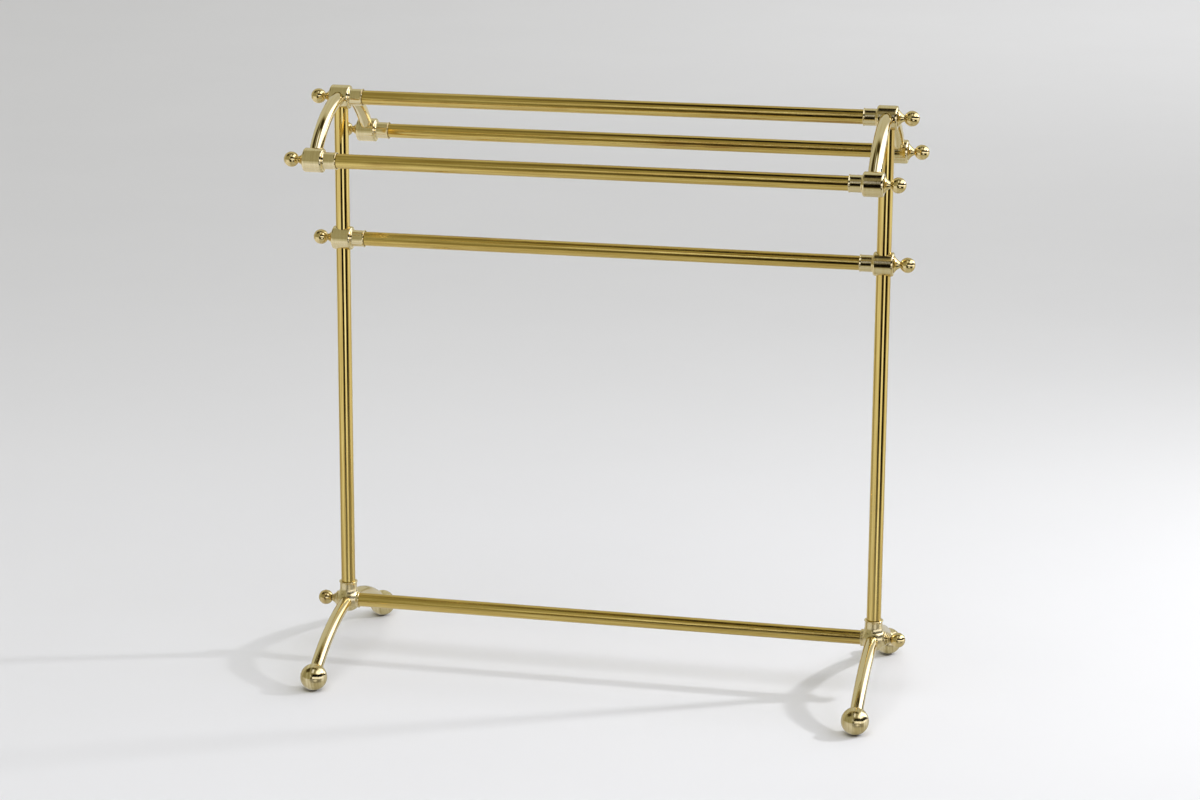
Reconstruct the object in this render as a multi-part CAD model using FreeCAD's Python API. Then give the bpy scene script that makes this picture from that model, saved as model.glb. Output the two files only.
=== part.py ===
"""Freestanding towel stand: two curved side frames joined by five cross bars.

Millimetres. X runs along the bars, Y from front to back, Z up.
The origin is on the floor, midway between the four feet.
"""

import FreeCAD, Part
import math
import os

# ---------------------------------------------------------------- overall layout
post_spacing = 725.0          # between the axes of the two posts
top_bar_height = 772.0        # axis of the bar on the crown of the arch
side_bar_height = 708.0       # axes of the front and back bars
side_bar_offset = 121.5       # front and back bars, measured from the posts' plane
middle_bar_height = 582.0     # axis of the bar below the arch
stretcher_height = 75.5       # axis of the low bar that ties the two bases
foot_offset = 164.0           # centres of the ball feet, from the posts' plane
arm_top_slope = 0.0           # degrees below level where the arms leave the crown
leg_top_slope = 3.0           # degrees below level where the legs leave the base

# ---------------------------------------------------------------- tubes and rods
tube_diameter = 19.05         # posts and bars
tube_wall = 1.2
arm_diameter = 17.5           # curved arms of the arch
leg_diameter = 17.0           # curved legs

# ---------------------------------------------------------------- hubs of the arch and of the middle bar
hub_diameter = 31.5
hub_length = 26.5
hub_edge_round = 2.6

# ---------------------------------------------------------------- ferrules that hold the bars' ends
ferrule_wall = 1.45
ferrule_length = 17.5         # from the hub's end face to the mouth
ferrule_web = 3.0             # floor of the cup, clamped against the hub
ferrule_root_flare = 1.8      # concave flare where the cup meets the hub
ferrule_lip_spread = 0.6      # slight bell at the mouth
ferrule_lip_length = 2.4
ferrule_edge_round = 0.7
ferrule_mouth_chamfer = 0.8

# ---------------------------------------------------------------- base fittings
base_body_diameter = 34.0
base_neck_reach = 16.5        # end faces of both necks, from the post's axis
base_neck_wall = 1.8          # round the stretcher's socket
base_boss_diameter = 20.4     # neck on the finial's side
base_neck_edge_round = 1.0
stretcher_insertion = 4.5
collar_height = 26.0          # top of the post's collar, above the stretcher's axis
collar_wall = 2.1
collar_root_height = 17.5     # where the concave root runs out into the collar
collar_root_spread = 3.0
collar_lip_height = 3.4       # bell-shaped lip at the collar's top
collar_lip_spread = 0.9
collar_lip_edge = 1.2
post_insertion = 17.0

# ---------------------------------------------------------------- finials
finial_ball_diameter = 20.0
finial_reach = 17.6           # ball centre, from the face that the finial sits on
finial_neck_diameter = 8.6
finial_base_diameter = 21.6
finial_base_rim = 0.9
finial_flare_length = 7.0     # hollow cone between the rim and the neck
finial_flare_hollow = 0.8     # how far the cone's side curves in
base_finial_reach = 16.0
base_finial_rib_diameters = (15.6, 12.4, 10.4)
base_finial_rib_width = 1.9
base_finial_rib_crown = 0.55
base_finial_neck_diameter = 7.2
finial_thread_depth = 5.0

# ---------------------------------------------------------------- ball feet
foot_diameter = 36.0
foot_clearance = 1.0          # underside of the ball, above the floor
foot_flat_diameter = 13.0     # flat under the ball
pad_diameter = 11.0
pad_recess_depth = 1.2
pad_edge_round = 0.3

# ---------------------------------------------------------------- hidden joints
socket_depth = 1.5            # how far the edge of a rod or post sinks into a hub
spigot_diameter = 11.0        # turned end of an arm or leg
spigot_length = 5.5
spigot_end_gap = 0.5
stud_diameter = 5.0           # tie stud through each hub, from finial to bar
plug_length = 12.0            # threaded plug inside a bar's end
plug_head = 1.0
fit_clearance = 0.1           # radial, sockets and spigots
stud_clearance = 0.25         # radial, where a tie stud passes through
thread_clearance = 0.05       # radial, where a tie stud is screwed in
thread_end_gap = 0.3
post_hole_clearance = 0.2     # radial, post through the middle hub
bore_overrun = 1.0            # how far a cutting tool passes a face

# ---------------------------------------------------------------- values that follow
X_AXIS = FreeCAD.Vector(1, 0, 0)
Z_AXIS = FreeCAD.Vector(0, 0, 1)
SIDES = {"left": -1, "right": 1}
ENDS = {"front": -1, "back": 1}

post_x = post_spacing / 2
tube_radius = tube_diameter / 2
tube_bore_radius = tube_radius - tube_wall
socket_radius = tube_radius + fit_clearance
hub_radius = hub_diameter / 2
hub_face = hub_length / 2
base_body_radius = base_body_diameter / 2
foot_radius = foot_diameter / 2
foot_height = math.sqrt(foot_radius ** 2 - (foot_flat_diameter / 2) ** 2) + foot_clearance
stud_radius = stud_diameter / 2
spigot_radius = spigot_diameter / 2


def seat_distance(body_radius, rod_radius):
    """Distance from a round body's centre to the seat of a rod let into its side."""
    return math.sqrt(body_radius ** 2 - rod_radius ** 2) - socket_depth


post_top = top_bar_height - seat_distance(hub_radius, tube_radius)
post_foot = stretcher_height + collar_height - post_insertion


# ---------------------------------------------------------------- shape helpers
def vec(x, y, z):
    return FreeCAD.Vector(x, y, z)


def place(shape, origin, direction):
    """Turn a shape modelled along +X to a direction, and move it to its origin."""
    shape.Placement = FreeCAD.Placement(origin, FreeCAD.Rotation(X_AXIS, direction))
    return shape


class Outline:
    """Half section of a turned piece: distance along its axis, and radius."""

    def __init__(self, along, radius):
        self.here = vec(along, radius, 0)
        self.start = self.here
        self.edges = []

    def line(self, along, radius):
        there = vec(along, radius, 0)
        if there.distanceToPoint(self.here) > 1e-6:
            self.edges.append(Part.makeLine(self.here, there))
        self.here = there
        return self

    def arc(self, mid_along, mid_radius, along, radius):
        there = vec(along, radius, 0)
        curve = Part.Arc(self.here, vec(mid_along, mid_radius, 0), there)
        self.edges.append(curve.toShape())
        self.here = there
        return self

    def sweep(self, along, radius, level_at_end):
        """Arc to a point, level with the axis at its end or at its start."""
        there = vec(along, radius, 0)
        level, other = (there, self.here) if level_at_end else (self.here, there)
        run, rise = other.x - level.x, other.y - level.y
        arc_radius = (run ** 2 + rise ** 2) / (2 * abs(rise))
        half = math.atan2(abs(rise), abs(run))
        mid_along = level.x + math.copysign(arc_radius * math.sin(half), run)
        mid_radius = level.y + math.copysign(arc_radius * (1 - math.cos(half)), rise)
        return self.arc(mid_along, mid_radius, along, radius)

    def ease_in(self, along, radius):
        return self.sweep(along, radius, True)

    def ease_out(self, along, radius):
        return self.sweep(along, radius, False)

    def turn(self):
        self.line(self.start.x, self.start.y)
        face = Part.Face(Part.Wire(self.edges))
        return face.revolve(vec(0, 0, 0), X_AXIS, 360)


def rod(start, end, radius):
    """Plain cylinder between two points."""
    run = end - start
    return Part.makeCylinder(radius, run.Length, start, run)


def tube(start, end):
    return rod(start, end, tube_radius).cut(rod(start, end, tube_bore_radius))


class Bend:
    """Circular arc in a side frame's plane, from a given slope at its top to a lower point."""

    def __init__(self, x, end, top_height, top_slope, low_offset, low_height):
        drop = top_height - low_height
        chord_slope = math.atan2(drop, low_offset)
        self.end = end
        self.first = math.radians(top_slope)
        self.last = 2 * chord_slope - self.first
        self.radius = math.hypot(low_offset, drop) / (2 * math.sin(chord_slope - self.first))
        top = vec(x, 0, top_height)
        self.centre = top - vec(0, end * math.sin(self.first), math.cos(self.first)) * self.radius

    def point(self, angle):
        return self.centre + vec(0, self.end * math.sin(angle), math.cos(angle)) * self.radius

    def tangent(self, angle):
        return vec(0, self.end * math.cos(angle), -math.sin(angle))

    def swing(self, seat):
        """Angle along the arc whose chord from the arc's end is the seat's distance."""
        return 2 * math.asin(seat / (2 * self.radius))

    def bar(self, start_angle, end_angle, radius):
        """Round bar along part of the arc."""
        section = Part.makeCircle(radius, self.point(start_angle), self.tangent(start_angle))
        sweep = math.degrees(end_angle - start_angle)
        return Part.Face(Part.Wire(section)).revolve(self.centre, X_AXIS * -self.end, sweep)


def curved_rod(bend, top_seat, low_seat, radius):
    """Arm or leg: a bent rod with a turned spigot at each end."""
    start = bend.first + bend.swing(top_seat)
    finish = bend.last - bend.swing(low_seat)
    body = bend.bar(start, finish, radius)
    for angle, way in ((start, -1), (finish, 1)):
        root = bend.point(angle)
        tip = root + bend.tangent(angle) * (way * spigot_length)
        body = body.fuse(rod(root, tip, spigot_radius))
    return body.removeSplitter()


def rod_socket(bend, seat, at_top, rod_radius):
    """Space that a curved rod and its spigot take up inside the piece that holds them."""
    swing = bend.swing(seat)
    angle = bend.first + swing if at_top else bend.last - swing
    way = 1 if at_top else -1
    outside = angle + way * bend.swing(hub_diameter)
    mouth = bend.bar(min(angle, outside), max(angle, outside), rod_radius + fit_clearance)
    root = bend.point(angle)
    tip = root - bend.tangent(angle) * (way * (spigot_length + spigot_end_gap))
    return mouth.fuse(rod(root, tip, spigot_radius + fit_clearance))


# ---------------------------------------------------------------- the two kinds of bend
def arm_bend(side, end):
    return Bend(SIDES[side] * post_x, ENDS[end], top_bar_height, arm_top_slope,
                side_bar_offset, side_bar_height)


def leg_bend(side, end):
    return Bend(SIDES[side] * post_x, ENDS[end], stretcher_height, leg_top_slope,
                foot_offset, foot_height)


arm_radius = arm_diameter / 2
leg_radius = leg_diameter / 2
arm_seat = seat_distance(hub_radius, arm_radius)
leg_top_seat = seat_distance(base_body_radius, leg_radius)
leg_foot_seat = seat_distance(foot_radius, leg_radius)


def arm(side, end):
    return curved_rod(arm_bend(side, end), arm_seat, arm_seat, arm_radius)


def leg(side, end):
    return curved_rod(leg_bend(side, end), leg_top_seat, leg_foot_seat, leg_radius)


# ---------------------------------------------------------------- hubs
def barrel(centre):
    """Turned barrel along X with rounded ends and a through hole for the tie stud."""
    outline = Outline(-hub_face, stud_radius + stud_clearance)
    outline.line(-hub_face, hub_radius - hub_edge_round)
    outline.ease_in(-hub_face + hub_edge_round, hub_radius)
    outline.line(hub_face - hub_edge_round, hub_radius)
    outline.ease_out(hub_face, hub_radius - hub_edge_round)
    outline.line(hub_face, stud_radius + stud_clearance)
    return place(outline.turn(), centre, X_AXIS)


def top_hub(side):
    """Crown of a side frame: two arms, the post and the top bar meet here."""
    centre = vec(SIDES[side] * post_x, 0, top_bar_height)
    hub = barrel(centre)
    for end in ENDS:
        hub = hub.cut(rod_socket(arm_bend(side, end), arm_seat, True, arm_radius))
    post_end = vec(centre.x, 0, post_top)
    return hub.cut(rod(post_end, post_end - Z_AXIS * hub_diameter, socket_radius))


def side_hub(side, end):
    """Hub of the front or back bar, at the low end of an arm."""
    centre = vec(SIDES[side] * post_x, ENDS[end] * side_bar_offset, side_bar_height)
    return barrel(centre).cut(rod_socket(arm_bend(side, end), arm_seat, False, arm_radius))


def middle_hub(side):
    """Cross hub that the post runs through."""
    centre = vec(SIDES[side] * post_x, 0, middle_bar_height)
    half = Z_AXIS * hub_diameter
    return barrel(centre).cut(rod(centre - half, centre + half, tube_radius + post_hole_clearance))


def base_body():
    """Round body of a base fitting along X: finial's boss on -X, stretcher's neck on +X."""
    boss_radius = base_boss_diameter / 2
    boss_root = math.sqrt(base_body_radius ** 2 - boss_radius ** 2)
    neck_radius = tube_radius + base_neck_wall
    neck_root = math.sqrt(base_body_radius ** 2 - neck_radius ** 2)
    outline = Outline(-base_neck_reach, stud_radius + stud_clearance)
    outline.line(-base_neck_reach, boss_radius - base_neck_edge_round)
    outline.ease_in(-base_neck_reach + base_neck_edge_round, boss_radius)
    outline.line(-boss_root, boss_radius)
    outline.arc(0, base_body_radius, neck_root, neck_radius)
    outline.line(base_neck_reach - base_neck_edge_round, neck_radius)
    outline.ease_out(base_neck_reach, neck_radius - base_neck_edge_round)
    outline.line(base_neck_reach, stud_radius + stud_clearance)
    return outline.turn()


def base_collar():
    """Collar round the post: concave root on the body, straight wall and a bell-shaped lip."""
    wall_radius = tube_radius + collar_wall
    root_radius = wall_radius + collar_root_spread
    root_start = math.sqrt(base_body_radius ** 2 - root_radius ** 2)
    lip_radius = wall_radius + collar_lip_spread
    lip_start = collar_height - collar_lip_height
    lip_round = collar_lip_edge / 2
    outline = Outline(root_start, 0)
    outline.line(root_start, root_radius)
    outline.ease_in(collar_root_height, wall_radius)
    outline.line(lip_start, wall_radius)
    outline.ease_out(collar_height - collar_lip_edge, lip_radius)
    outline.line(collar_height - lip_round, lip_radius)
    outline.ease_out(collar_height, lip_radius - lip_round)
    outline.line(collar_height, 0)
    return outline.turn()


def base_hub(side):
    """Base fitting: the post, the stretcher and two legs meet here."""
    centre = vec(SIDES[side] * post_x, 0, stretcher_height)
    inward = X_AXIS * -SIDES[side]
    hub = place(base_body(), centre, inward).fuse(place(base_collar(), centre, Z_AXIS))
    post_end = vec(centre.x, 0, post_foot)
    hub = hub.cut(rod(post_end, post_end + Z_AXIS * (post_insertion + bore_overrun), socket_radius))
    mouth = centre + inward * base_neck_reach
    hub = hub.cut(rod(mouth - inward * stretcher_insertion, mouth + inward * bore_overrun, socket_radius))
    for end in ENDS:
        hub = hub.cut(rod_socket(leg_bend(side, end), leg_top_seat, True, leg_radius))
    return hub.removeSplitter()


# ---------------------------------------------------------------- ferrules, bars and posts
def ferrule(side, y, z):
    """Cup that a bar's end sits in, clamped against its hub."""
    outer = tube_radius + ferrule_wall
    lip = outer + ferrule_lip_spread
    mouth = ferrule_length
    outline = Outline(0, stud_radius + stud_clearance)
    outline.line(0, outer + ferrule_root_flare)
    outline.ease_in(ferrule_root_flare, outer)
    outline.line(mouth - ferrule_lip_length, outer)
    outline.ease_out(mouth - ferrule_edge_round, lip)
    outline.ease_out(mouth, lip - ferrule_edge_round)
    outline.line(mouth, socket_radius + ferrule_mouth_chamfer)
    outline.line(mouth - ferrule_mouth_chamfer, socket_radius)
    outline.line(ferrule_web, socket_radius)
    outline.line(ferrule_web, stud_radius + stud_clearance)
    seat = vec(SIDES[side] * (post_x - hub_face), y, z)
    return place(outline.turn(), seat, X_AXIS * -SIDES[side])


ferruled_bar_end = post_x - hub_face - ferrule_web       # outer face of the plug's head
stretcher_end = post_x - base_neck_reach + stretcher_insertion


def bar(y, z, end):
    """Bar between the heads of its two end plugs."""
    half = end - plug_head
    return tube(vec(-half, y, z), vec(half, y, z))


def end_plug(side, y, z, end):
    """Threaded plug in a bar's end; its head caps the tube."""
    shank = tube_bore_radius - fit_clearance
    outline = Outline(0, stud_radius + thread_clearance)
    outline.line(0, tube_radius)
    outline.line(plug_head, tube_radius)
    outline.line(plug_head, shank)
    outline.line(plug_head + plug_length, shank)
    outline.line(plug_head + plug_length, stud_radius + thread_clearance)
    return place(outline.turn(), vec(SIDES[side] * end, y, z), X_AXIS * -SIDES[side])


def post(side):
    x = SIDES[side] * post_x
    shape = tube(vec(x, 0, post_foot), vec(x, 0, post_top))
    reach = X_AXIS * tube_diameter
    centre = vec(x, 0, middle_bar_height)
    return shape.cut(rod(centre - reach, centre + reach, stud_radius + stud_clearance))


# ---------------------------------------------------------------- finials
def close_with_ball(outline, centre_along, neck_radius):
    """Run a finial's outline round its ball and back along the threaded hole."""
    ball = finial_ball_diameter / 2
    neck_end = centre_along - math.sqrt(ball ** 2 - neck_radius ** 2)
    outline.line(neck_end, neck_radius)
    outline.arc(centre_along, ball, centre_along + ball, 0)
    outline.line(finial_thread_depth, 0)
    outline.line(finial_thread_depth, stud_radius + thread_clearance)
    outline.line(0, stud_radius + thread_clearance)
    return outline.turn()


def finial():
    """Ball on a stem that flares to its base in a hollow cone."""
    rim = finial_base_diameter / 2
    neck = finial_neck_diameter / 2
    slant = math.hypot(finial_flare_length, rim - neck)
    mid_along = finial_base_rim + finial_flare_length / 2 - finial_flare_hollow * (rim - neck) / slant
    mid_radius = (rim + neck) / 2 - finial_flare_hollow * finial_flare_length / slant
    outline = Outline(0, rim)
    outline.line(finial_base_rim, rim)
    outline.arc(mid_along, mid_radius, finial_base_rim + finial_flare_length, neck)
    return close_with_ball(outline, finial_reach, neck)


def base_finial():
    """Ball on a short stem of three ribs, each smaller than the last."""
    radii = [diameter / 2 for diameter in base_finial_rib_diameters]
    outline = Outline(0, radii[0] - base_finial_rib_crown)
    for count, radius in enumerate(radii):
        along = count * base_finial_rib_width
        outline.line(along, radius - base_finial_rib_crown)
        outline.arc(along + base_finial_rib_width / 2, radius,
                    along + base_finial_rib_width, radius - base_finial_rib_crown)
    neck = base_finial_neck_diameter / 2
    outline.line(len(radii) * base_finial_rib_width, neck)
    return close_with_ball(outline, base_finial_reach, neck)


# ---------------------------------------------------------------- feet
def foot_centre(side, end):
    return vec(SIDES[side] * post_x, ENDS[end] * foot_offset, foot_height)


def foot(side, end):
    """Ball foot: flat underneath, with a recess for its pad and a socket for the leg."""
    centre = foot_centre(side, end)
    below = vec(centre.x, centre.y, foot_clearance - foot_diameter)
    flat = vec(centre.x, centre.y, foot_clearance)
    recess_radius = pad_diameter / 2 + fit_clearance
    ball = Part.makeSphere(foot_radius, centre)
    ball = ball.cut(rod(below, flat, foot_radius))
    ball = ball.cut(rod(below, flat + Z_AXIS * pad_recess_depth, recess_radius))
    return ball.cut(rod_socket(leg_bend(side, end), leg_foot_seat, False, leg_radius))


def pad(side, end):
    """Soft disc let into the underside of a foot; the stand rests on it."""
    centre = foot_centre(side, end)
    top = foot_clearance + pad_recess_depth
    radius = pad_diameter / 2
    outline = Outline(0, 0)
    outline.line(0, radius - pad_edge_round)
    outline.ease_in(pad_edge_round, radius)
    outline.line(top, radius)
    outline.line(top, 0)
    return place(outline.turn(), vec(centre.x, centre.y, 0), Z_AXIS)


# ---------------------------------------------------------------- tie studs
def tie_stud(side, y, z, finial_face, end):
    """Stud through a hub, from the finial's thread to the plug in the bar's end."""
    outer = finial_face + finial_thread_depth - thread_end_gap
    inner = end - plug_head - plug_length
    return rod(vec(SIDES[side] * inner, y, z), vec(SIDES[side] * outer, y, z), stud_radius)


# ---------------------------------------------------------------- assembly
hub_stations = {               # name: (makes its hub, y, height)
    "top": (top_hub, 0, top_bar_height),
    "front": (lambda side: side_hub(side, "front"), -side_bar_offset, side_bar_height),
    "back": (lambda side: side_hub(side, "back"), side_bar_offset, side_bar_height),
    "middle": (middle_hub, 0, middle_bar_height),
}
hub_finial_face = post_x + hub_face
base_finial_face = post_x + base_neck_reach

nodes = {"stretcher_bar": bar(0, stretcher_height, stretcher_end)}
studs = []
plugs = []

for station, (_, y, height) in hub_stations.items():
    nodes[station + "_bar"] = bar(y, height, ferruled_bar_end)

for side, sign in SIDES.items():
    outward = X_AXIS * sign
    nodes[side + "_post"] = post(side)
    for station, (make_hub, y, height) in hub_stations.items():
        name = side + "_" + station
        nodes[name + "_hub"] = make_hub(side)
        nodes[name + "_ferrule"] = ferrule(side, y, height)
        nodes[name + "_finial"] = place(finial(), vec(sign * hub_finial_face, y, height), outward)
        studs.append(tie_stud(side, y, height, hub_finial_face, ferruled_bar_end))
        plugs.append(end_plug(side, y, height, ferruled_bar_end))
    nodes[side + "_base_hub"] = base_hub(side)
    base_seat = vec(sign * base_finial_face, 0, stretcher_height)
    nodes[side + "_base_finial"] = place(base_finial(), base_seat, outward)
    studs.append(tie_stud(side, 0, stretcher_height, base_finial_face, stretcher_end))
    plugs.append(end_plug(side, 0, stretcher_height, stretcher_end))
    for end in ENDS:
        name = side + "_" + end
        nodes[name + "_arm"] = arm(side, end)
        nodes[name + "_leg"] = leg(side, end)
        nodes[name + "_foot"] = foot(side, end)
        nodes[name + "_foot_pad"] = pad(side, end)

nodes["tie_studs"] = Part.makeCompound(studs)
nodes["bar_end_plugs"] = Part.makeCompound(plugs)

os.makedirs("parts", exist_ok=True)
for name, shape in nodes.items():
    shape.exportStep("parts/" + name + ".step")
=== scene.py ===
"""Looks of the freestanding towel stand: satin brass on a pale studio floor.

Metres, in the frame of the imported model: X along the bars, Y from front to back, Z up.
"""

import math

import bpy
from mathutils import Matrix, Vector


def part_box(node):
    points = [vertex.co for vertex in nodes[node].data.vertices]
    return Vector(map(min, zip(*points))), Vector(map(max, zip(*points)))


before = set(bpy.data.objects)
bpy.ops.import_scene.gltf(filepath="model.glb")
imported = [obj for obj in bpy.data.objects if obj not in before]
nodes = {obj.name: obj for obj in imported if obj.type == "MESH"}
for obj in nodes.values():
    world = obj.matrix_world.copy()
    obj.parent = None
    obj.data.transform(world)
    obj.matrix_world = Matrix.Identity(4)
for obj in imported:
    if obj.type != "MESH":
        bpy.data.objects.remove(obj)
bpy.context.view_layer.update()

# ---------------------------------------------------------------- camera
CAMERA_PLACE = Vector((0.862, -3.985, 1.429))
CAMERA_YAW = -0.234654        # radians, to the left of +Y
CAMERA_PITCH = 0.251969       # radians, downward
CAMERA_ROLL = -0.000584       # radians
CAMERA_LENS = 95.135          # mm
CAMERA_SENSOR = 36.0          # mm, its width
CAMERA_SHIFT = 0.0493         # the photograph is cropped off centre
CAMERA_CLIP = 200.0

# ---------------------------------------------------------------- lights
UP = Vector((0, 0, 1))
MIDDLE = Vector((0, 0, 0.3))             # what the key light is turned to
KEY_LIGHT = dict(place=Vector((1.93, 0.77, 1.33)), size=0.12, power=22.5)     # low, right, a little behind
FRONT_FILL = dict(place=Vector((-0.2, -1.2, 3.0)), size=2.5, power=40.0)
BACK_FILL = dict(place=Vector((1.5, 7.0, 4.0)), size=4.0, power=95.0)
CEILING_FROM = Vector((0.15, -0.25, 1.0))     # direction of the even light's middle
CEILING_SPREAD = 100.0        # degrees
CEILING_POWER = 0.26

# ---------------------------------------------------------------- floors
FLOOR_SIZE = 60.0
FLOOR_TONES = ((0.735, 0.742, 0.775), (0.765, 0.772, 0.805))
FLOOR_CLOUDS = 2.0            # scale of the drift between the two tones
FLOOR_ROUGHNESS = 0.5
SET_COLOUR = (0.47, 0.465, 0.46)         # of the floor as the metal mirrors it
SET_FADE = (0.4, 1.6)         # it thins out between these distances from the stand's middle
SET_CLEAR = (0.5, 1.0)        # how clear it is at the two distances
SET_LIFT = 0.0002             # keeps it off the floor that is seen

# ---------------------------------------------------------------- what the metal mirrors
# Directions are given by x and z of the unit vector, by azimuth (degrees from the front, positive to the
# right) or by turn (degrees from the front horizon over the top). Where four numbers stand together, the
# outer two are where a thing ends and the inner two where it is full.

# Colour by brightness: the dimmer, the warmer.
TINTS = (
    (0.02, (1.0, 0.73, 0.25)),
    (0.06, (1.0, 0.77, 0.33)),
    (0.17, (1.0, 0.85, 0.44)),
    (0.32, (1.0, 0.95, 0.61)),
    (0.50, (1.0, 0.98, 0.80)),
    (0.75, (1.0, 1.0, 1.02)),
    (0.98, (1.0, 1.01, 1.12)),
)

# Above the horizon: pale panels and black flags that run along X, each with its reach in x, its reach in
# turn and its brightness. A later one lies over those before it.
AMBIENT = 0.34                # where no panel is
PANELS = (
    ("ceiling", (-3.0, -2.0, 2.0, 3.0), (103, 114, 200, 210), 0.53),
    ("left flag", (-0.85, -0.75, -0.42, -0.33), (54, 68, 96, 110), 0.05),
    ("top flag", (-0.29, -0.17, -0.12, -0.06), (61, 72, 99, 108), 0.0),
    ("horizon flag", (-0.27, -0.16, 2.0, 3.0), (-24, -12, 5, 13), 0.0),
    ("strip", (-0.27, -0.15, -0.135, -0.130), (12, 21, 31, 41), 1.0),
    ("hub flag", (-0.135, -0.130, -0.10, -0.06), (-22, 40, 64, 70), 0.16),
    ("black flag", (-0.135, -0.130, -0.10, -0.06), (-22, -13, 34, 46), 0.0),
    ("right flag", (-0.06, 0.05, 2.0, 3.0), (-20, -10, 38, 48), 0.03),
    ("top light", (-0.09, -0.03, 0.10, 0.20), (48, 58, 78, 90), 1.0),
    ("zenith flag", (-0.12, -0.04, 0.30, 0.45), (86, 92, 100, 107), 0.03),
    ("right light", (0.40, 0.56, 2.0, 3.0), (48, 62, 185, 200), 2.0),
)
HORIZON = (-0.11, -0.02)      # z where what lies low gives way to the panels

# Below the horizon: brightness by azimuth, then underfoot, and a dark edge low on the right.
LOW_LEVELS = ((-125, 0.66), (-98, 0.36), (-74, 0.74), (-50, 0.84), (-23, 0.78), (-8, 0.0), (12, 0.0),
              (22, 1.2), (36, 1.2), (49, 0.0), (70, 0.0), (102, 1.0), (140, 0.66))
UNDERFOOT_SIDES = (-0.30, -0.14)         # x where the left level gives way to the right one
UNDERFOOT_LEVELS = (0.80, 0.48)
UNDERFOOT_TOP = (-0.55, -0.28)           # z where underfoot gives way to LOW_LEVELS
EDGE_AZIMUTH = (-12, 4, 78, 96)
EDGE_HEIGHT = (-0.58, -0.50, -0.40, -0.36)    # z

# The long soft box on the right, as the balls mirror it: a white streak between two dark edges that meet
# behind the stand. It follows the azimuth, its heights are in z, and its bands are shares of its half height.
BOX_FROM, BOX_FULL = -4, 16
BOX_TURN, BOX_END = 100, 155
BOX_FADE = 10                 # degrees over which it fades out before BOX_END
BOX_MIDDLE = (0.16, -0.04, -0.16)        # height of its middle at BOX_FULL, BOX_TURN and BOX_END
BOX_HALF = (0.46, 0.48, 0.10)            # half its height there
BOX_WHITE = (0.25, 0.37)                 # where the white ends and the dark begins
BOX_DARK = (0.98, 1.12)                  # where the dark ends
BOX_FOOT = (-0.15, -0.08)                # z where the box gives way to what lies low
BOX_GLOW = 1.3

# ---------------------------------------------------------------- brass
BRASS_LIGHT = (0.88, 0.69, 0.245)
BRASS_DEEP = (0.64, 0.455, 0.125)
BRASS_BROWN = (0.46, 0.27, 0.08)
FITTING_LIGHT = (0.92, 0.80, 0.49)
FITTING_DEEP = (0.84, 0.71, 0.41)
FOOT_DEEP = (0.66, 0.54, 0.27)
FINIAL_LIGHT = (0.87, 0.72, 0.37)
FINIAL_DEEP = (0.75, 0.60, 0.28)
# Dark colour of the painted shade in the seams between parts.
SEAM_SHADE = (0.12, 0.075, 0.03)

# Noise scales a metre: along the grain, then across it.
FINE_GRAIN = (60.0, 5200.0, 5200.0)
LINE_GRAIN = (6.0, 520.0, 520.0)
BROAD_GRAIN = (3.0, 110.0, 110.0)
CLOUDS = 7.0                  # the same all ways
NOISE_RANGE = (0.3, 0.7)      # the noise hardly leaves it
LINE_SHARE = 0.75             # of the brushed lines in the tone; the broad streaks make the rest
FINE_DEPTH = 0.05             # depth of the finest scratches, as a share of the brushed lines'
PATCH_STREAKS = (0.50, 0.66)  # brown patches lie where both ramps are up: broad streaks and clouds
PATCH_CLOUDS = (0.42, 0.62)
SEAM_REACH = 0.004            # how near another surface has to be for the painted shade
SEAM_OPEN = (0.25, 0.72)      # how open a spot is where the painted shade is full, and where it ends
SEAM_SHADE_SHARE = 0.85             # share of the painted shade colour where it is full

# On turned pieces the rings vary along x, slowly along y and hardly along z.
TURNED_Y = 0.5
TURNED_Z = 0.01
ARC_UNROLLED = 0.2            # metres along the grain for each radian of an arm's or leg's arc
ARM_TOP_SLOPE = 0.0           # radians below level where the arms leave the crown
LEG_TOP_SLOPE = math.radians(3.0)

TUBE = dict(light=BRASS_LIGHT, deep=BRASS_DEEP, brown=BRASS_BROWN, brown_share=0.75,
            roughness=(0.045, 0.10), streak=0.10, bump=0.00008)
ROD = dict(light=FITTING_LIGHT, deep=FITTING_DEEP, brown=BRASS_DEEP, brown_share=0.5,
           roughness=(0.04, 0.09), streak=0.16, bump=0.00003)
FINIAL = dict(light=FINIAL_LIGHT, deep=FINIAL_DEEP, brown=BRASS_BROWN, brown_share=0.4,
              roughness=(0.03, 0.07), streak=0.25, bump=0.00001)
FOOT = dict(light=FITTING_LIGHT, deep=FOOT_DEEP, brown=BRASS_DEEP, brown_share=0.5,
            roughness=(0.09, 0.17), streak=0.10, bump=0.0001)
FITTING = dict(light=FITTING_LIGHT, deep=FITTING_DEEP, brown=BRASS_DEEP, brown_share=0.4,
               roughness=(0.06, 0.13), streak=0.15, bump=0.00001)
CASTING = dict(FITTING, roughness=(0.18, 0.28))

# ---------------------------------------------------------------- rubber and steel
RUBBER_TONES = ((0.018, 0.018, 0.018), (0.05, 0.05, 0.048))
RUBBER_SPECKS = 900.0
RUBBER_ROUGHNESS = (0.6, 0.85)
RUBBER_RELIEF = dict(Strength=0.6, Distance=0.0001)
STEEL_TONES = ((0.42, 0.42, 0.43), (0.62, 0.62, 0.63))
STEEL_GRAIN = (40.0, 2500.0, 2500.0)
STEEL_ROUGHNESS = (0.28, 0.45)


# ---------------------------------------------------------------- node helpers
MIX_FIRST, MIX_SECOND, MIX_RESULT = 6, 7, 2   # the Mix node's sockets for colours


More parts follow.
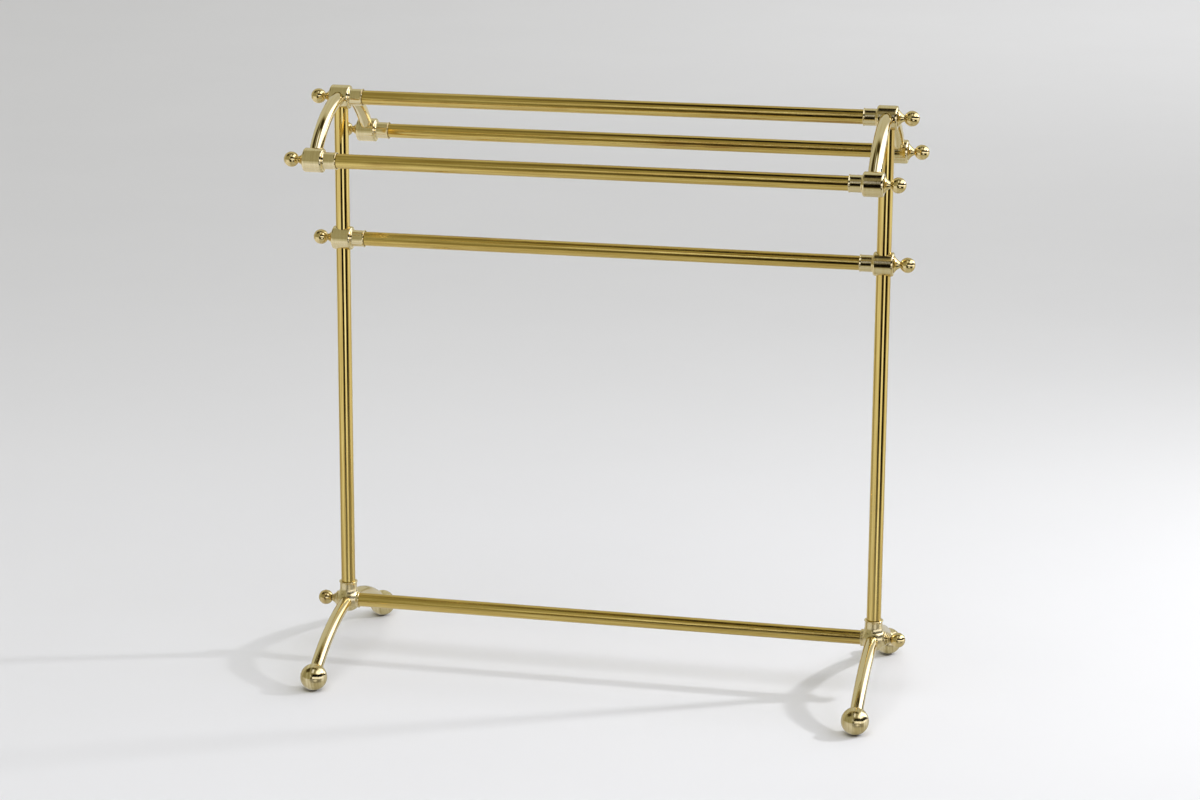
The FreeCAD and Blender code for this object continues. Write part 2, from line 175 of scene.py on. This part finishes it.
class Tree:
    """Short ways to add and join shader nodes."""

    def __init__(self, node_tree):
        self.tree = node_tree
        self.tree.nodes.clear()

    def add(self, kind, settings=None, **inputs):
        made = self.tree.nodes.new("ShaderNode" + kind)
        for key, value in (settings or {}).items():
            setattr(made, key, value)
        for key, value in inputs.items():
            self.feed(made.inputs[key.replace("_", " ")], value)
        return made

    def feed(self, socket, value):
        if isinstance(value, bpy.types.NodeSocket):
            self.tree.links.new(value, socket)
        elif isinstance(value, tuple) and len(value) == 3 and socket.type == "RGBA":
            socket.default_value = (*value, 1.0)
        else:
            socket.default_value = value

    def math(self, operation, first, second=0.0):
        made = self.add("Math", {"operation": operation})
        self.feed(made.inputs[0], first)
        self.feed(made.inputs[1], second)
        return made.outputs[0]

    def times(self, first, second):
        return self.math("MULTIPLY", first, second)

    def plus(self, first, second):
        return self.math("ADD", first, second)

    def minus(self, first, second):
        return self.math("SUBTRACT", first, second)

    def ramp(self, value, low, high, start=0.0, end=1.0):
        """Smooth step from start to end as value goes from low to high."""
        made = self.add("MapRange", {"interpolation_type": "SMOOTHSTEP"}, Value=value,
                        From_Min=low, From_Max=high, To_Min=start, To_Max=end)
        return made.outputs[0]

    def band(self, value, start, full, still_full, end):
        """1 between full and still_full, 0 outside start and end."""
        return self.times(self.ramp(value, start, full), self.ramp(value, still_full, end, 1.0, 0.0))

    def steps(self, value, *points):
        """Smooth steps through (place, level) points."""
        (before, level), *rest = points
        total = level
        for place, next_level in rest:
            total = self.plus(total, self.ramp(value, before, place, 0.0, next_level - level))
            before, level = place, next_level
        return total

    def mix(self, factor, first, second):
        """From the first colour to the second as factor goes from 0 to 1."""
        made = self.add("Mix", {"data_type": "RGBA"}, Factor=factor)
        self.feed(made.inputs[MIX_FIRST], first)
        self.feed(made.inputs[MIX_SECOND], second)
        return made.outputs[MIX_RESULT]

    def blend(self, first, second, share):
        """From the first number to the second as share goes from 0 to 1."""
        return self.add("Mix", Factor=share, A=first, B=second).outputs[0]

    def noise(self, vector, scale, detail=3.0, rough=0.55):
        made = self.add("TexNoise", Vector=vector, Scale=scale, Detail=detail, Roughness=rough)
        return made.outputs["Fac"]

    def grain(self, point, stretch, detail=3.0, rough=0.55):
        """Noise with its own scale along each axis."""
        stretched = self.add("VectorMath", {"operation": "MULTIPLY"})
        self.feed(stretched.inputs[0], point)
        self.feed(stretched.inputs[1], stretch)
        return self.noise(stretched.outputs[0], 1.0, detail, rough)

    def point(self):
        """Place on the piece, in metres of the frame."""
        return self.add("TexCoord").outputs["Object"]

    def surface(self, shader):
        self.add("OutputMaterial", Surface=shader.outputs[0])


def new_material(name):
    """A material and its empty node tree."""
    material = bpy.data.materials.new(name)
    material.use_nodes = True
    return material, Tree(material.node_tree)


# ---------------------------------------------------------------- materials
def grain_place(tree, point, layout):
    """Coordinates whose first axis follows the grain of a piece, in metres."""
    x, y, z = tree.add("SeparateXYZ", Vector=point).outputs
    if layout == "along_x":
        along, second, third = x, y, z
    elif layout == "along_z":
        along, second, third = z, x, y
    elif layout == "turned_x":
        along, second, third = tree.times(y, TURNED_Y), x, tree.times(z, TURNED_Z)
    else:
        centre_y, centre_z = layout
        side = tree.minus(tree.math("ABSOLUTE", y), centre_y)
        rise = tree.minus(z, centre_z)
        reach = tree.math("SQRT", tree.plus(tree.times(side, side), tree.times(rise, rise)))
        turn = tree.math("ARCTAN2", side, rise)
        along, second, third = tree.times(turn, ARC_UNROLLED), reach, x
    return tree.add("CombineXYZ", X=along, Y=second, Z=third).outputs[0]


def brass(name, layout, light, deep, brown, brown_share, roughness, streak, bump):
    """Brushed brass: grain, drifting tone, brown streaks, painted shade in the seams."""
    material, tree = new_material(name)
    point = tree.point()
    place = grain_place(tree, point, layout)
    fine = tree.grain(place, FINE_GRAIN, detail=2.0)
    lines = tree.grain(place, LINE_GRAIN, detail=4.0, rough=0.7)
    broad = tree.grain(place, BROAD_GRAIN)
    cloud = tree.noise(point, CLOUDS)
    tone = tree.plus(tree.times(lines, LINE_SHARE), tree.times(broad, 1.0 - LINE_SHARE))
    tone = tree.ramp(tone, 0.5 - streak, 0.5 + streak)
    colour = tree.mix(tone, deep, light)
    patch = tree.times(tree.ramp(broad, *PATCH_STREAKS), tree.ramp(cloud, *PATCH_CLOUDS))
    colour = tree.mix(tree.times(patch, brown_share), colour, brown)
    # Painted shade: the colour darkens towards a dark brown where other surfaces are near, in the seams
    # between parts.
    openness = tree.add("AmbientOcclusion", {"samples": 8}, Distance=SEAM_REACH).outputs["AO"]
    colour = tree.mix(tree.ramp(openness, *SEAM_OPEN, SEAM_SHADE_SHARE, 0.0), colour, SEAM_SHADE)
    worn = tree.times(tree.plus(fine, cloud), 0.5)
    height = tree.plus(tree.times(fine, FINE_DEPTH), lines)
    relief = tree.add("Bump", Strength=1.0, Distance=bump, Height=height).outputs["Normal"]
    tree.surface(tree.add("BsdfPrincipled", Base_Color=colour, Metallic=1.0,
                          Roughness=tree.ramp(worn, *NOISE_RANGE, *roughness), Normal=relief))
    return material


def rubber():
    """Dark moulded rubber of the foot pads."""
    material, tree = new_material("rubber")
    speck = tree.noise(tree.point(), RUBBER_SPECKS, detail=4.0)
    relief = tree.add("Bump", Height=speck, **RUBBER_RELIEF).outputs["Normal"]
    tree.surface(tree.add("BsdfPrincipled", Base_Color=tree.mix(speck, *RUBBER_TONES),
                          Roughness=tree.ramp(speck, *NOISE_RANGE, *RUBBER_ROUGHNESS), Normal=relief))
    return material


def steel():
    """Drawn steel of the hidden tie studs."""
    material, tree = new_material("steel")
    drawn = tree.grain(tree.point(), STEEL_GRAIN)
    tree.surface(tree.add("BsdfPrincipled", Base_Color=tree.mix(drawn, *STEEL_TONES), Metallic=1.0,
                          Roughness=tree.ramp(drawn, *NOISE_RANGE, *STEEL_ROUGHNESS)))
    return material


def middle(node):
    """Centre of a node's box."""
    low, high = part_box(node)
    return (low + high) / 2


def arc_centre(top, low_end, top_slope):
    """Centre of the arc from top to low_end that leaves top at top_slope: (|y|, z)."""
    across, drop = abs(low_end.y), top.z - low_end.z
    chord = math.atan2(drop, across)
    radius = math.hypot(across, drop) / (2 * math.sin(chord - top_slope))
    return -math.sin(top_slope) * radius, top.z - math.cos(top_slope) * radius


def dress():
    """Give every node the finish of its kind: its last word, or base_hub for the two castings."""
    arm_arc = arc_centre(middle("left_top_hub"), middle("left_front_hub"), ARM_TOP_SLOPE)
    leg_arc = arc_centre(middle("stretcher_bar"), middle("left_front_foot"), LEG_TOP_SLOPE)
    finish_of = {
        "bar": brass("brass_bar", "along_x", **TUBE),
        "post": brass("brass_post", "along_z", **TUBE),
        "arm": brass("brass_arm", arm_arc, **ROD),
        "leg": brass("brass_leg", leg_arc, **ROD),
        "hub": brass("brass_hub", "turned_x", **FITTING),
        "base_hub": brass("brass_base_hub", "turned_x", **CASTING),
        "ferrule": brass("brass_ferrule", "turned_x", **FITTING),
        "finial": brass("brass_finial", "turned_x", **FINIAL),
        "foot": brass("brass_foot", "turned_x", **FOOT),
        "plugs": brass("brass_plug", "turned_x", **FITTING),
        "pad": rubber(),
        "studs": steel(),
    }
    for name, piece in nodes.items():
        kind = "base_hub" if name.endswith("base_hub") else name.split("_")[-1]
        piece.data.materials.clear()
        piece.data.materials.append(finish_of[kind])


# ---------------------------------------------------------------- studio
def into_scene(name, data):
    """A new object of the data, in the scene."""
    made = bpy.data.objects.new(name, data)
    bpy.context.scene.collection.objects.link(made)
    return made


def plane(name, size):
    half = size / 2
    corners = [(-half, -half, 0), (half, -half, 0), (half, half, 0), (-half, half, 0)]
    mesh = bpy.data.meshes.new(name)
    mesh.from_pydata(corners, [], [(0, 1, 2, 3)])
    made = into_scene(name, mesh)
    return made


def pale_floor():
    """The floor that the camera sees and that takes the shadows."""
    floor = plane("floor", FLOOR_SIZE)
    floor.visible_glossy = False
    material, tree = new_material("pale_floor")
    cloud = tree.noise(tree.point(), FLOOR_CLOUDS)
    tree.surface(tree.add("BsdfPrincipled", Base_Color=tree.mix(cloud, *FLOOR_TONES),
                          Roughness=FLOOR_ROUGHNESS))
    floor.data.materials.append(material)


def set_floor():
    """The floor as the metal mirrors it: half clear close by, and gone farther out."""
    floor = plane("set_floor", FLOOR_SIZE)
    floor.location.z = SET_LIFT
    floor.visible_camera = False
    floor.visible_diffuse = False
    floor.visible_shadow = False
    floor.visible_transmission = False
    material, tree = new_material("set_floor")
    distance = tree.add("VectorMath", {"operation": "LENGTH"})
    tree.feed(distance.inputs[0], tree.point())
    clearness = tree.ramp(distance.outputs["Value"], *SET_FADE, *SET_CLEAR)
    shader = tree.add("MixShader")
    tree.feed(shader.inputs[0], clearness)
    tree.feed(shader.inputs[1], tree.add("BsdfDiffuse", Color=SET_COLOUR).outputs[0])
    tree.feed(shader.inputs[2], tree.add("BsdfTransparent").outputs[0])
    tree.surface(shader)
    floor.data.materials.append(material)


def low_level(tree, x, z, azimuth):
    """Brightness of what lies below the horizon."""
    around = tree.steps(azimuth, *LOW_LEVELS)
    underfoot = tree.ramp(x, *UNDERFOOT_SIDES, *UNDERFOOT_LEVELS)
    level = tree.blend(underfoot, around, tree.ramp(z, *UNDERFOOT_TOP))
    edge = tree.times(tree.band(azimuth, *EDGE_AZIMUTH), tree.band(z, *EDGE_HEIGHT))
    return tree.blend(level, 0.0, edge)


def high_level(tree, x, turn):
    """Brightness of what lies above the horizon."""
    level = AMBIENT
    for _, across, over, glow in PANELS:
        share = tree.times(tree.band(x, *across), tree.band(turn, *over))
        level = tree.blend(level, glow, share)
    return level


def with_box(tree, level, z, azimuth):
    """The level with the long box over it."""
    turns = (BOX_FULL, BOX_TURN, BOX_END)
    box_middle = tree.steps(azimuth, *zip(turns, BOX_MIDDLE))
    box_half = tree.steps(azimuth, *zip(turns, BOX_HALF))
    off = tree.math("DIVIDE", tree.math("ABSOLUTE", tree.minus(z, box_middle)), box_half)
    in_box = tree.times(tree.band(azimuth, BOX_FROM, BOX_FULL, BOX_END - BOX_FADE, BOX_END),
                        tree.ramp(off, *BOX_DARK, 1.0, 0.0))
    in_box = tree.times(in_box, tree.ramp(z, *BOX_FOOT))
    return tree.blend(level, tree.ramp(off, *BOX_WHITE, BOX_GLOW, 0.0), in_box)


def tinted(tree, level):
    """Colour of the level from TINTS, in place of the two stops that a new ramp starts with."""
    made = tree.add("ValToRGB", Fac=level)
    stops = made.color_ramp.elements
    for place, colour in TINTS:
        stops.new(place).color = (*colour, 1.0)
    for end in (0, -1):
        stops.remove(stops[end])
    return made.outputs[0]


def surroundings():
    """The studio that the metal mirrors: pale and dark ground, panels and flags, the long box."""
    world = bpy.data.worlds.new("studio")
    bpy.context.scene.world = world
    world.use_nodes = True
    tree = Tree(world.node_tree)
    way = tree.add("TexCoord").outputs["Generated"]
    x, y, z = tree.add("SeparateXYZ", Vector=way).outputs
    front = tree.times(y, -1.0)
    azimuth, turn = (tree.times(tree.math("ARCTAN2", part, front), math.degrees(1.0)) for part in (x, z))
    level = tree.blend(low_level(tree, x, z, azimuth), high_level(tree, x, turn), tree.ramp(z, *HORIZON))
    level = with_box(tree, level, z, azimuth)
    back = tree.add("Background", Color=tinted(tree, level), Strength=level)
    tree.add("OutputWorld", Surface=back.outputs[0])


def face(made, from_side):
    """Turn a light so that it shines from from_side."""
    made.rotation_mode = "QUATERNION"
    made.rotation_quaternion = (-from_side).to_track_quat("-Z", "Y")


def soft_light(name, place, size, power, from_side=None, in_metal=True):
    """Square soft light that shines to the stand's middle, or straight from from_side."""
    light = bpy.data.lights.new(name, "AREA")
    light.shape = "SQUARE"
    light.size = size
    light.energy = power
    made = into_scene(name, light)
    made.location = place
    made.visible_camera = False
    made.visible_glossy = in_metal
    face(made, from_side or place - MIDDLE)


def ceiling_light():
    """Even light from the whole ceiling, which the metal doesn't mirror."""
    light = bpy.data.lights.new("fill_light", "SUN")
    light.angle = math.radians(CEILING_SPREAD)
    light.energy = CEILING_POWER
    made = into_scene("fill_light", light)
    made.visible_glossy = False
    face(made, CEILING_FROM)


def camera():
    ahead = Vector((math.sin(CAMERA_YAW) * math.cos(CAMERA_PITCH),
                    math.cos(CAMERA_YAW) * math.cos(CAMERA_PITCH), -math.sin(CAMERA_PITCH)))
    right = Vector((math.cos(CAMERA_YAW), -math.sin(CAMERA_YAW), 0))
    down = ahead.cross(right)
    turned_right = right * math.cos(CAMERA_ROLL) + down * math.sin(CAMERA_ROLL)
    turned_down = down * math.cos(CAMERA_ROLL) - right * math.sin(CAMERA_ROLL)
    axes = Matrix((turned_right, -turned_down, -ahead)).transposed()
    data = bpy.data.cameras.new("camera")
    data.sensor_width = CAMERA_SENSOR
    data.lens = CAMERA_LENS
    data.shift_x = CAMERA_SHIFT
    data.clip_end = CAMERA_CLIP
    made = into_scene("camera", data)
    made.matrix_world = Matrix.Translation(CAMERA_PLACE) @ axes.to_4x4()
    bpy.context.scene.camera = made


dress()
pale_floor()
set_floor()
surroundings()
soft_light("key_light", **KEY_LIGHT)
soft_light("front_fill", **FRONT_FILL, from_side=UP, in_metal=False)
soft_light("back_fill", **BACK_FILL, from_side=UP, in_metal=False)
ceiling_light()
camera()
bpy.context.scene.view_settings.view_transform = "Standard"
